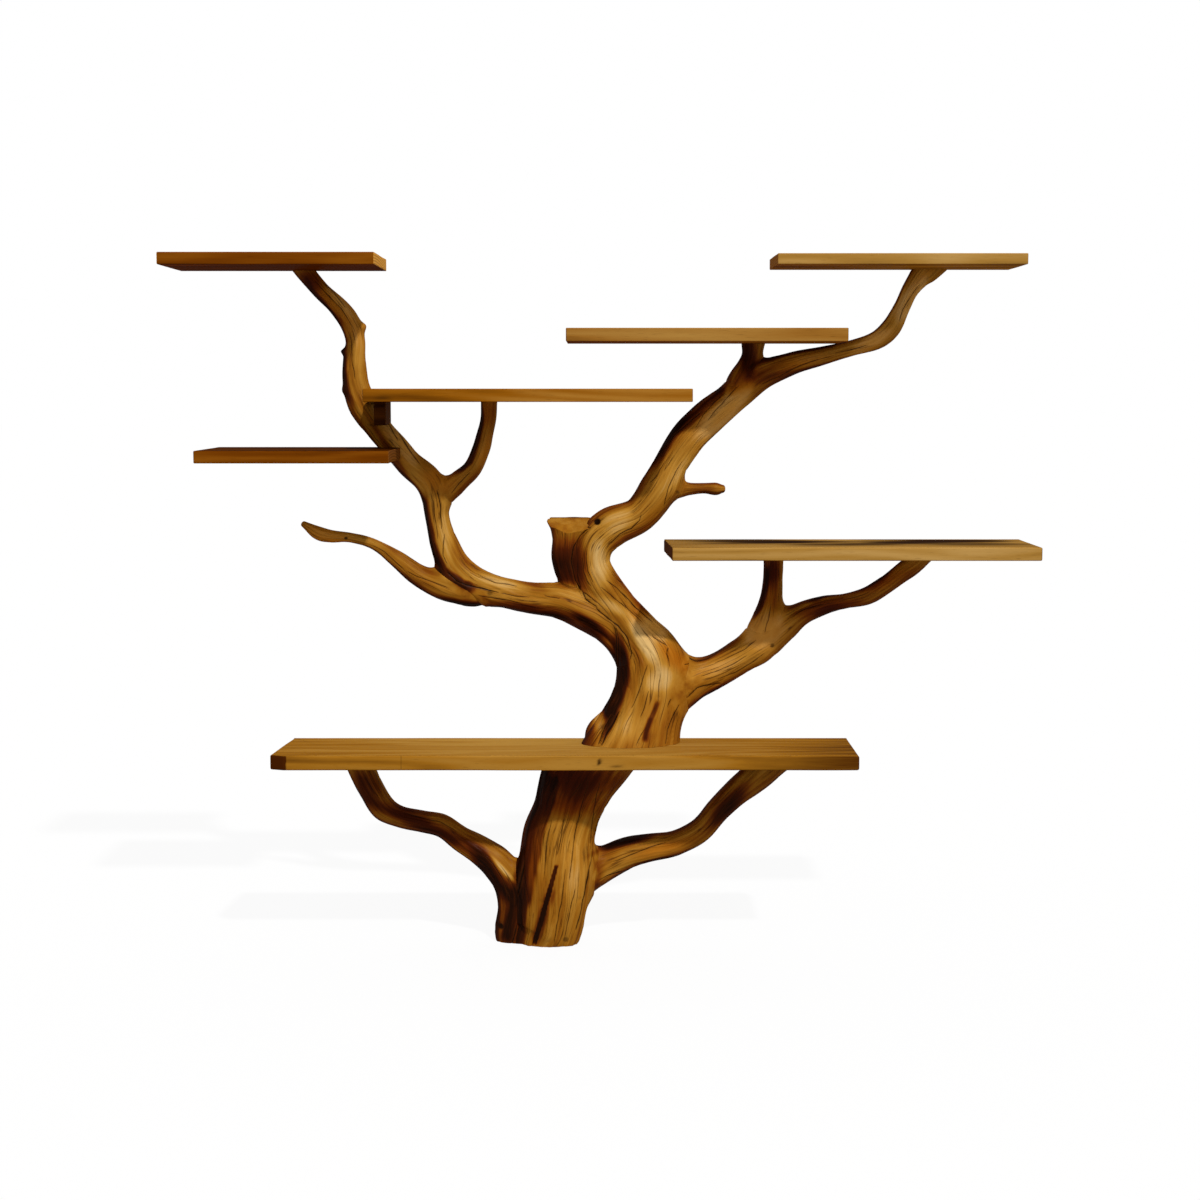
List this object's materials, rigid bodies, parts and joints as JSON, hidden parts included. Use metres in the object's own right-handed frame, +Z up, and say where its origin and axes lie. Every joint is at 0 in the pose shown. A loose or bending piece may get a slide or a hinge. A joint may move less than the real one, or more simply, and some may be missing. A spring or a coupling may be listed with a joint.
{
  "type": "tree shaped bookshelf",
  "caption": "Wall-fixed wooden bookshelf shaped like a leaning tree: a driftwood trunk on a sawn foot, limbs that branch left and right, and level planks carried on their ends.",
  "frame": {"origin": "on the trunk's sawn back, at the middle of the trunk where it is straightest, on the wall plane", "axes": "+X along the wall to the viewer's right, +Y into the wall, +Z up"},
  "size_m": [1.7673, 0.28, 1.4486],
  "materials": {
    "plank_amber": "planed plank, dark honey stain, satin oil",
    "plank_straw": "planed plank, light honey stain, satin oil",
    "limb_wood": "peeled and sanded driftwood with dark cracks along the grain, satin oil",
    "dowel_wood": "plain turned dowel",
    "zinc_steel": "bright zinc plate"
  },
  "bodies": {
    "root": {"shelf_upper_left": "plank_amber", "shelf_middle_left": "plank_amber", "shelf_lower_left": "plank_amber", "shelf_upper_centre": "plank_straw", "shelf_upper_right": "plank_straw", "shelf_right": "plank_straw", "shelf_bottom": "plank_straw", "trunk_base": "limb_wood", "trunk_upper": "limb_wood", "crown_limb": "limb_wood", "left_limb_lower": "limb_wood", "left_limb_upper": "limb_wood", "dead_branch": "limb_wood", "right_limb": "limb_wood", "brace_left": "limb_wood", "brace_right": "limb_wood", "prop_middle_left": "limb_wood", "prop_centre": "limb_wood", "prop_right": "limb_wood", "cleat_middle_left": "limb_wood", "rod_trunk_front": "zinc_steel", "rod_trunk_back": "zinc_steel", "dowel_crown": "dowel_wood", "dowel_left_limb": "dowel_wood", "dowel_left_splice": "dowel_wood", "dowel_dead_branch": "dowel_wood", "dowel_right_limb": "dowel_wood", "dowel_prop_right": "dowel_wood", "dowel_prop_centre": "dowel_wood", "dowel_prop_middle": "dowel_wood", "dowel_brace_left": "dowel_wood", "dowel_brace_right": "dowel_wood", "dowel_cleat": "dowel_wood", "dowel_shelf_upper_left": "dowel_wood", "dowel_shelf_middle_left": "dowel_wood", "dowel_shelf_lower_left": "dowel_wood", "dowel_shelf_upper_right": "dowel_wood", "dowel_shelf_right_limb": "dowel_wood", "dowel_shelf_right_prop": "dowel_wood", "dowel_shelf_bottom_left": "dowel_wood", "dowel_shelf_bottom_right": "dowel_wood", "hanger_trunk": "zinc_steel", "screw_trunk_left": "zinc_steel", "screw_trunk_right": "zinc_steel", "hanger_upper_left": "zinc_steel", "screw_upper_left_left": "zinc_steel", "screw_upper_left_right": "zinc_steel", "hanger_middle_left": "zinc_steel", "screw_middle_left_left": "zinc_steel", "screw_middle_left_right": "zinc_steel", "hanger_lower_left": "zinc_steel", "screw_lower_left_left": "zinc_steel", "screw_lower_left_right": "zinc_steel", "hanger_upper_centre": "zinc_steel", "screw_upper_centre_left": "zinc_steel", "screw_upper_centre_right": "zinc_steel", "hanger_upper_right": "zinc_steel", "screw_upper_right_left": "zinc_steel", "screw_upper_right_right": "zinc_steel"}
  },
  "joints": []
}
